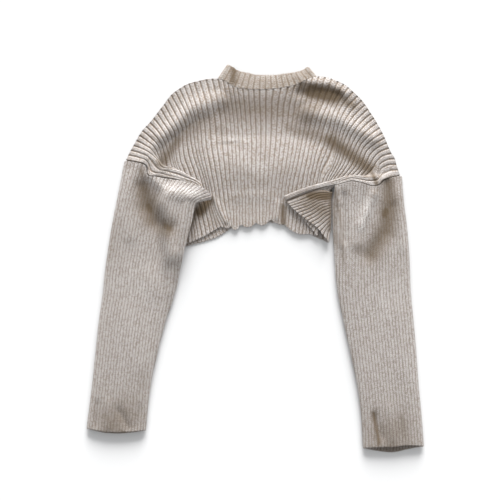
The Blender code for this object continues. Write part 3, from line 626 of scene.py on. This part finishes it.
# ---------------------------------------------------------------- back panel
# The back, in the same rib: it lies flat on the floor under the front. Its side corner is turned
# up and over beside the bare armhole, so that a fan of its ribs shows face up between the hem
# and the sleeve.
BACK_RIBS = (
    (-31.5, PLAIN,
     (-231, 175), (-214, 168), (-196, 158), (-180, 140), (-166, 123), (-155, 107), (-151, 64), (-149, 14)),
    (-28, PLAIN,
     (-212, 206), (-196, 191), (-178, 176), (-168, 152), (-156, 128), (-147, 107), (-140, 64), (-136, 18)),
    (-24, PLAIN,
     (-189, 238), (-175, 217), (-160, 194), (-151, 165), (-144, 134), (-137, 107), (-128, 64), (-119, 22)),
    (-20, PLAIN,
     (-164, 271), (-151, 246), (-137, 219), (-130, 183), (-122, 147), (-113, 114), (-104, 71), (-92, 29)),
    (-16.5, PLAIN,
     (-142, 299), (-128, 269), (-117, 237), (-110, 201), (-103, 165), (-92, 125), (-81, 82), (-68, 37)),
    (-13, PLAIN,
     (-114, 315), (-101, 276), (-94, 237), (-88, 199), (-81, 161), (-72, 123), (-61, 86), (-49, 49)),
    (-8.5, PLAIN,
     (-67, 322), (-61, 284), (-56, 246), (-50, 206), (-47, 166), (-43, 129), (-40, 93), (-34, 58)),
    (0, PLAIN,
     (14, 312), (14, 276), (14, 240), (14, 202), (13, 166), (13, 130), (13, 96), (13, 64)),
    (8.5, PLAIN,
     (113, 325), (103, 287), (92, 247), (81, 194), (74, 140), (71, 112), (69, 86), (68, 58)),
    (12, PLAIN,
     (153, 314), (138, 280), (118, 235), (96, 160), (93, 100), (93, 84), (92, 65), (92, 46)),
    (15, PLAIN,
     (184, 292), (163, 262), (136, 208), (105, 134), (113, 68), (114, 57), (115, 46), (115, 35)),
    (16.5, ALONG,
     (194, 283), (172, 250), (146, 200), (110, 128), (136, 48), (135, 41), (134, 34), (133, 27)),
    (18, CROSSES,
     (203, 271), (182, 240), (156, 193), (116, 131), (136.5, 57), (131, 50), (128, 43), (126, 36)),
    (20, CROSSES,
     (212, 255), (193, 228), (167, 186), (122, 134), (137, 72), (129, 63), (122, 56), (115, 50)),
    (24, CROSSES,
     (232, 219), (214, 202), (184, 169), (132, 141), (137.5, 93), (122, 86), (108, 76), (92, 68)),
    (28, CROSSES,
     (247, 184), (230, 172), (198, 152), (143, 144), (138, 107), (116, 104), (94, 94), (70, 86)),
    (31.5, CROSSES,
     (260, 146), (236, 141), (205, 139.5), (157, 141), (139, 117), (118, 120.3), (90, 112.6), (57.8, 99.4)),
)
# The fold of the turned-up corner, as for the pleats of the front.
TURN_UP = (
    (118, -30, 180, 400), (127, 27, 180, 400), (130, 60, 180, 400), (131, 92, 180, 400),
    (131.3, 106, 180, 400), (133, 118, 180, 400), (138, 126, 180, 400), (146, 130.8, 180, 400),
    (158, 133, 180, 400), (205, 134, 180, 400), (300, 134, 180, 400),
)
# Painted shade on the back, in rows as for the front.
BACK_PAINTED_SHADING = (
    (126, 84, 96, 98, 26, 0.7),
    (138, 110, 100, 110, 11, 1.25),
    (135, 110, 135, 50, 7, 0.8),
    (-140, 90, -110, 40, 14, 0.5),
)


def back(at_ribs, at_levels):
    """The middle of the back's cloth, lifted a little where it joins the front at the left side."""
    points = back_plan(at_ribs, at_levels)
    side = smooth((-28.5 - np.asarray(at_ribs)) / 3)[:, None] * smooth((np.asarray(at_levels) - 0.6) / 0.2)
    points[..., 2] += FLOOR + 6 * side
    return points


turn_up = Fold(TURN_UP, 1, (TOP - FLOOR) / 2)
back_plan = panel(BACK_RIBS, ((turn_up, (8.5, 15), None, 0),))
back_rows = merge((0, 0.002, 0.005), np.linspace(0.01, 0.99, 66), fold_rows, (0.995, 0.998, 1))
back_panel = knitted("back_rib", back, rib_steps(-LAST_RIB, LAST_RIB), back_rows, body_ribs, LENGTH,
                     body_wool, BACK_PAINTED_SHADING, face=-1)
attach(back_panel, "root")
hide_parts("back_panel")

# ---------------------------------------------------------------- left sleeve
# A long straight sleeve in a finer rib, linked to the armhole and knitted to shape, with ribs
# running off at its underarm. Its tip lies over the pleated strip, and its underarm side is
# lifted over the edge of the body.

# Each row down a sleeve: its outer fold (x, y), its underarm fold (x, y), how thick it lies at
# the outer fold and at the underarm, how far the underarm side is lifted over the body, and
# the share of the width from and to which it rises.
SLEEVE_LEFT = (
    ((-248, 103), (-106, 97), 11, 9, 14.8, 0.46, 0.64),
    ((-256, 62), (-114.5, 62), 12, 9, 14.8, 0.56, 0.74),
    ((-262, 25), (-124, 26), 12, 9, 14.8, 0.62, 0.81),
    ((-265, 4), (-129, 6), 12, 9, 14.5, 0.66, 0.85),
    ((-269, -25), (-135, -22), 12, 10, 5, 0.60, 0.95),
    ((-272, -57), (-142, -55), 12, 11, 0.5, 0.60, 1.0),
    ((-280, -118), (-162, -118), 13, 12, 0, 0.6, 1.0),
    ((-286, -177), (-177, -177), 13, 13, 0, 0.6, 1.0),
    ((-292, -235), (-189, -237), 12, 13, 0, 0.6, 1.0),
    ((-301, -307), (-196, -310), 11, 12, 0, 0.6, 1.0),
)
# How far the under layer reaches past the upper one at the cuff, and how the cuff's edge waves,
# as (share of the width, mm).
CUFF_LEFT = (2, ((0, 0), (0.1, -2), (0.3, -5), (0.55, -5), (0.8, -3), (1, 0)))
# Where the upper layer lies over the strip, out to the sleeve's tip, and how the under layer
# comes back down to the back's edge: (x, y, height).
TIP_OVER = ((-144, 138.6, 15), (-134, 137.6, 17.4), (-118, 134, 19.2),
            (-99, 127, 20.8), (-86, 118.5, 21.6), (-79, 111, 21.4), (-77, 104.5, 19.8))
TIP_UNDER = ((-80, 103, 17.6), (-91, 105, 17.0), (-108, 110, 16.4), (-128, 115, 16), (-146, 116, 15.4),
             (-158, 118, 11.5), (-168, 121, 5), (-174, 128, 2))
# Ridges and troughs, and painted shade or painted highlight, as for the front.
SLEEVE_LEFT_SWELLS = (
    (-238, 140, -226, 40, 16, 3.0),
    (-190, 148, -160, 118, 9, 4.0),
    (-160, 118, -118, 108, 12, 4.0),
    (-122, 96, -134, 20, 8, 3.0),
    (-134, 8, -146, -66, 14, 4.0),
    (-204, 128, -196, 92, 13, -4.5),
    (-196, 92, -176, 62, 15, -5.0),
    (-176, 62, -152, 54, 13, -5.0),
    (-180, -60, -190, -40, 20, 2.5),
    (-230, -110, -215, -190, 24, 2.0),
    (-243, -276, -226, -304, 7, -3.0),
    (-262, -262, -262, -304, 6, 2.0),
    (-282, -262, -286, -300, 6, -2.5),
    (-205, -270, -212, -304, 6, -2.0),
)
SLEEVE_LEFT_PAINTED_SHADING = (
    (-204, 158, -200, 130, 8, 0.6),
    (-202, 128, -196, 98, 19, 0.8),
    (-194, 98, -184, 68, 25, 0.85),
    (-192, 92, -188, 84, 10, 1.15),
    (-184, 68, -160, 50, 22, 0.75),
    (-162, 56, -154, 50, 10, 1.05),
    (-188, 142, -150, 124, 9, -0.5),
    (-150, 124, -104, 116, 11, -0.45),
    (-222, -30, -200, -60, 26, -0.22),
    (-255, 60, -262, 10, 18, 0.25),
    (-244, -292, -250, -330, 54, 0.6),
    (-240, -278, -228, -300, 8, 0.4),
    (-284, -260, -287, -305, 7, 0.4),
    (-205, -272, -212, -304, 6, 0.35),
    (-200, -210, -205, -300, 9, 0.25),
)


def evenly(line, count):
    """A line of points read again at equal lengths."""
    line = np.asarray(line, float)
    reach = np.concatenate([[0], np.cumsum(np.linalg.norm(np.diff(line, axis=0), axis=1))])
    return through(reach, line, np.linspace(0, reach[-1], count))


def section(outer, inner, thick, thin, lift, rise_from, rise_to, overhang=0.0, wave=((0, 0), (1, 0))):
    """Upper and under layer of a sleeve across its width, from its outer fold to its underarm."""
    share = 0.5 - 0.5 * np.cos(np.linspace(0, math.pi, 80))
    raised = lift * smooth((share - rise_from) / (rise_to - rise_from))
    half = (thick + (thin - thick) * share) / 2
    over = (1 - abs(2 * share - 1) ** 3.0) ** 0.5
    under = (1 - abs(2 * share - 1) ** 8.0) ** 0.5
    plan = np.array(outer, float) + share[:, None] * (np.array(inner, float) - np.array(outer, float))
    plan[:, 1] += np.interp(share, *zip(*wave))
    below = plan - np.sin(math.pi * share)[:, None] * np.array((0, overhang))
    return (np.column_stack([plan, FLOOR + raised + half + half * over]),
            np.column_stack([below, FLOOR + raised + half - half * under]))


def tube(sections, columns=40):
    """The middle of a flat tube: 0 to 1 goes over its upper layer, 1 to 2 back along its under layer."""
    rings = np.array([np.concatenate([evenly(high, columns + 1)[:-1], evenly(low[::-1], columns + 1)[:-1]])
                      for high, low in sections])
    wrapped = np.concatenate([rings[:, -3:], rings, rings[:, :4]], axis=1).transpose(1, 0, 2)
    around = np.arange(-3, 2 * columns + 4) / columns
    centres = rings.mean(axis=1)
    levels = np.concatenate([[0], np.cumsum(np.linalg.norm(np.diff(centres, axis=0), axis=1))])
    levels /= levels[-1]

    def middle(at_around, at_levels):
        across = through(around, wrapped, np.mod(at_around, 2.0))
        return through(levels, across.transpose(1, 0, 2), at_levels).transpose(1, 0, 2)

    return middle


def sewn_to(surface, rib, levels, out):
    """Points just off a panel's side edge, `out` mm beyond the rib at its end."""
    levels = np.asarray(levels, float)
    edge = surface([rib], levels)[0]
    way = edge - surface([rib - 0.15 * np.sign(rib)], levels)[0]
    run = surface([rib], levels + 0.004)[0] - surface([rib], levels - 0.004)[0]
    run /= np.linalg.norm(run, axis=1, keepdims=True)
    way -= (way * run).sum(axis=1, keepdims=True) * run
    return edge + out * way / np.linalg.norm(way, axis=1, keepdims=True)


def sleeve_ribs(at_top, at_cuff):
    """Ribs counted from the outer fold on each layer; the surplus ones run off at the underarm."""

    def ribs(around, along):
        count = at_top + (at_cuff - at_top) * smooth(np.asarray(along))[None, :]
        turn = np.mod(np.asarray(around), 2.0)[:, None]
        return np.where(turn <= 1, turn * count, (turn - 2) * count)

    return ribs


def laid_over(tube_middle, rows):
    """A sleeve with soft ridges and troughs (rows, as for the body) in its upper layer."""
    sunk = [(*row[:5], -row[5]) for row in rows if row[5] < 0]
    raised = [row for row in rows if row[5] > 0]

    def middle(around, along):
        points = tube_middle(around, along)
        turn = np.mod(np.asarray(around), 2.0)
        upper = smooth(np.minimum(turn, 1 - turn) * 9)[:, None]
        x, y = points[..., 0], points[..., 1]
        points[..., 2] += upper * (swell(x, y, raised) - swell(x, y, sunk))
        return points

    return middle


sleeve_wool = rib_knit("sleeve_wool", light=(0.49, 0.457, 0.438, 1), warm=(0.2, 0.158, 0.125, 1),
                       furrow=(0.12, 0.09, 0.064, 1), stitch=3.4, lines=(0.42, 0.34), heather=0.5)
# Steps around: fine over the upper layer, coarser under it. Steps down: finer at the armhole.
around = np.concatenate([np.linspace(0, 1, 191)[:-1], 1 + np.linspace(0, 1, 97)[:-1]])
sleeve_rows = merge((0, 0.001, 0.003), np.linspace(0.005, 0.12, 22), np.linspace(0.12, 0.994, 84),
                    (0.997, 0.999, 1))
on_front = sewn_to(front, -LAST_RIB, np.linspace(0, 4, 18) / 7, 2 * SEAM)
on_back = sewn_to(back, -LAST_RIB, np.linspace(0.1, 3.1, 14) / 7, 1.5 * SEAM)
armhole = (np.concatenate([[(-234, 174, 2.9)], on_front, TIP_OVER]),
           np.concatenate([on_back, TIP_UNDER[::-1]]))
rows = [section(*row) for row in SLEEVE_LEFT[:-1]] + [section(*SLEEVE_LEFT[-1], *CUFF_LEFT)]
left_middle = laid_over(tube([armhole] + rows), SLEEVE_LEFT_SWELLS)
sleeve_left = knitted("sleeve_left_rib", left_middle, around, sleeve_rows, sleeve_ribs(27, 20), 440.0,
                      sleeve_wool, SLEEVE_LEFT_PAINTED_SHADING, deep=1.1, closed=True, bow=1.2)
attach(sleeve_left, "root")
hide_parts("sleeve_left")

# ---------------------------------------------------------------- right sleeve
# The same sleeve at the other side, which starts beside the turned-up corner of the back and
# lies flat all the way down.
SLEEVE_RIGHT = (
    ((267, 98), (140, 96), 11, 10, 0, 0.6, 1.0),
    ((272, 57), (140.5, 57), 12, 11, 0, 0.6, 1.0),
    ((276, 4), (143.5, 4), 13, 12, 0, 0.6, 1.0),
    ((278, -55), (148, -55), 13, 12, 0, 0.6, 1.0),
    ((283, -112), (159, -112), 13, 12, 0, 0.6, 1.0),
    ((288, -172), (172, -172), 13, 13, 0, 0.6, 1.0),
    ((292, -231), (184, -231), 13, 13, 0, 0.6, 1.0),
    ((297, -285), (191, -285), 12, 12, 0, 0.6, 1.0),
    ((301, -339), (194, -333), 11, 11, 0, 0.6, 1.0),
)
CUFF_RIGHT = (9, ((0, 0), (0.12, 1), (0.3, 0), (0.5, -4), (0.75, -6), (1, -9)))
SLEEVE_RIGHT_SWELLS = (
    (212, 112, 200, 84, 9, 4.5),
    (200, 84, 188, 54, 10, 5.0),
    (188, 54, 182, 24, 11, 3.0),
    (236, 134, 242, 92, 10, -4.5),
    (242, 92, 232, 40, 13, -5.0),
    (232, 40, 204, 4, 15, -4.0),
    (146, 122, 150, 96, 6, 3.5),
    (150, 96, 154, 20, 5, 2.5),
    (160, 112, 162, 30, 6, -3.0),
    (215, -284, 226, -322, 7, -3.0),
    (240, -270, 246, -325, 8, 2.0),
    (250, -100, 262, -200, 22, 2.0),
    (262, 120, 268, 20, 12, 2.5),
)
# Painted shade, and painted highlight where the amount is below 0, as for the front.
SLEEVE_RIGHT_PAINTED_SHADING = (
    (240, 136, 242, 98, 17, 0.8),
    (242, 98, 236, 48, 22, 0.82),
    (236, 84, 234, 76, 9, 1.15),
    (232, 46, 210, 6, 22, 0.8),
    (210, 6, 188, 16, 15, 0.5),
    (222, 122, 212, 110, 6, 0.5),
    (209, 106, 196, 68, 9, -0.42),
    (196, 68, 190, 50, 10, -0.4),
    (147, 104, 156, 50, 4, 0.5),
    (156, 50, 159, -14, 4, 0.5),
    (143, 118, 150, 84, 5, 0.55),
    (142, 96, 146, 20, 5, 0.5),
    (262, 130, 275, 60, 7, 0.3),
    (212, -280, 222, -335, 6, 0.95),
    (226, -60, 236, -110, 24, -0.2),
    (244, -322, 248, -350, 54, 0.6),
    (262, -285, 270, -335, 8, 0.6),
)
on_front = sewn_to(front, LAST_RIB, np.linspace(0, 4.95, 26) / 7, SEAM)
on_back = sewn_to(back, LAST_RIB, np.linspace(0.1, 3, 20) / 7, 1.5 * SEAM)
armhole = (np.concatenate([[(263.5, 146, 2.9)], on_front]),
           np.concatenate([on_back, [(153, 129.5, 3), (148.5, 126.5, 7), (145, 126.3, 11)]]))
rows = [section(*row) for row in SLEEVE_RIGHT[:-1]] + [section(*SLEEVE_RIGHT[-1], *CUFF_RIGHT)]
right_middle = laid_over(tube([armhole] + rows), SLEEVE_RIGHT_SWELLS)
sleeve_right = knitted("sleeve_right_rib", right_middle, around, sleeve_rows, sleeve_ribs(26, 20), 460.0,
                       sleeve_wool, SLEEVE_RIGHT_PAINTED_SHADING, deep=1.1, closed=True, bow=1.2)
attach(sleeve_right, "root")
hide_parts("sleeve_right")

# ---------------------------------------------------------------- neckband
# A wide, shallow band of rib linked to the neckline, standing up a little past it; the far side
# of the neck lies just behind its near side.

# Its top edge from -X to +X, as (x, y): of the front layer, and of the one behind it.
NECK_TOP = ((-49, 349), (-41, 345), (-31, 338), (-9, 333), (4, 330), (36, 330), (50, 332), (81, 337),
            (97, 346))
NECK_BEHIND = ((-49, 348), (-27, 332), (14, 325), (63, 330), (97, 344))
# Painted shade, and painted highlight where the amount is below 0, as for the front.
NECK_PAINTED_SHADING = (
    (-38, 342, -40, 318, 8, 0.85),
    (-62, 332, -50, 346, 5, -0.3),
    (10, 329, 30, 327, 6, -0.3),
    (97, 330, 100, 342, 10, 0.3),
)
NECK_HALF_COUNT = 17


def neck_foot(surface, ribs):
    """The foot of the neckband, just off a panel's neckline."""
    edge = surface(ribs, [0.0])[:, 0]
    way = edge - surface(ribs, [0.01])[:, 0]
    run = np.gradient(edge, axis=0)
    run /= np.linalg.norm(run, axis=1, keepdims=True)
    way -= (way * run).sum(axis=1, keepdims=True) * run
    return edge + 0.6 * SEAM * way / np.linalg.norm(way, axis=1, keepdims=True)


def neck_count(around, along):
    """Ribs all round the neckband, counted from one end of its front layer."""
    return np.repeat(NECK_HALF_COUNT * np.mod(np.asarray(around), 2.0)[:, None], len(along), axis=1)


neck_ribs = np.linspace(-8.4, 8.4, 30)
foot = (neck_foot(front, neck_ribs), neck_foot(back, neck_ribs))
# The top edges of the two layers lie close at the ends of the neck and part between them, and
# the front layer bulges a little halfway up.
HIGH, LOW = 4.9, 1.9
lift = np.clip(np.sin(math.pi * np.linspace(0, 1, 30)) * 3, 0, 1)
top = (evenly([(x, y, HIGH) for x, y in NECK_TOP], 30), evenly([(x, y, LOW) for x, y in NECK_BEHIND], 30))
top[0][:, 2] += 1.2 * lift
top[1][:, 2] += (FLOOR - LOW) * lift
bands = [tuple(a + share * (b - a) for a, b in zip(foot, top)) for share in (0, 0.5, 1)]
bands[1] = (bands[1][0] + (0, 0, 0.8), bands[1][1])
# The neckband's wool is the body's yarn with darker, warmer colours: painted shade.
neck_wool_painted_shade = rib_knit("neck_wool_painted_shade", light=(0.40, 0.36, 0.325, 1), warm=(0.225, 0.16, 0.105, 1),
                     furrow=(0.14, 0.098, 0.063, 1), stitch=4.0, lines=(0.4, 0.4))
inside = (0.0, 0.14, 0.32, 0.5, 0.68, 0.86)
neck_around = rib_steps(0, 2 * NECK_HALF_COUNT, inside)[:-1] / NECK_HALF_COUNT
neck_rows = merge((0, 0.01, 0.03), np.linspace(0.06, 0.94, 14), (0.97, 0.99, 1))
neckband = knitted("neckband_rib", tube(bands), neck_around, neck_rows, neck_count, 30.0, neck_wool_painted_shade,
                   NECK_PAINTED_SHADING, deep=1.5, closed=True, bow=1.0)
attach(neckband, "root")
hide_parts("neckband")

# ---------------------------------------------------------------- studio
# A plain pale floor under a broad soft light from beyond the neck, with an even fill, and the
# camera almost straight overhead, a little towards the hem.
floor_mesh = bpy.data.meshes.new("floor")
corners = [(x, y, -0.0004) for x, y in ((-4, -4), (4, -4), (4, 4), (-4, 4))]
floor_mesh.from_pydata(corners, [], [(0, 1, 2, 3)])
floor = bpy.data.objects.new("floor", floor_mesh)
bpy.context.scene.collection.objects.link(floor)
paper = bpy.data.materials.new("pale_floor")
paper.use_nodes = True
paper.node_tree.nodes["Principled BSDF"].inputs["Base Color"].default_value = (0.745, 0.745, 0.745, 1)
paper.node_tree.nodes["Principled BSDF"].inputs["Roughness"].default_value = 0.9
floor_mesh.materials.append(paper)

key = bpy.data.objects.new("key", bpy.data.lights.new("key", "SUN"))
key.data.angle = math.radians(38)
key.data.energy = 6.8
key.rotation_euler = (math.radians(-68.5), 0, math.radians(-4))
bpy.context.scene.collection.objects.link(key)
world = bpy.data.worlds.new("studio")
world.use_nodes = True
world.node_tree.nodes["Background"].inputs["Color"].default_value = (0.98, 0.99, 1.0, 1)
world.node_tree.nodes["Background"].inputs["Strength"].default_value = 0.62
bpy.context.scene.world = world
bpy.context.scene.view_settings.view_transform = "Standard"

camera = bpy.data.objects.new("camera", bpy.data.cameras.new("camera"))
camera.data.lens = 200
camera.data.sensor_width = 36
ELEVATION = math.radians(86)
DISTANCE = 5.0
AIM = (-0.009, 0.0136)
camera.location = (AIM[0], AIM[1] - DISTANCE * math.cos(ELEVATION), DISTANCE * math.sin(ELEVATION))
camera.rotation_euler = (math.radians(90) - ELEVATION, 0, 0)
bpy.context.scene.collection.objects.link(camera)
bpy.context.scene.camera = camera
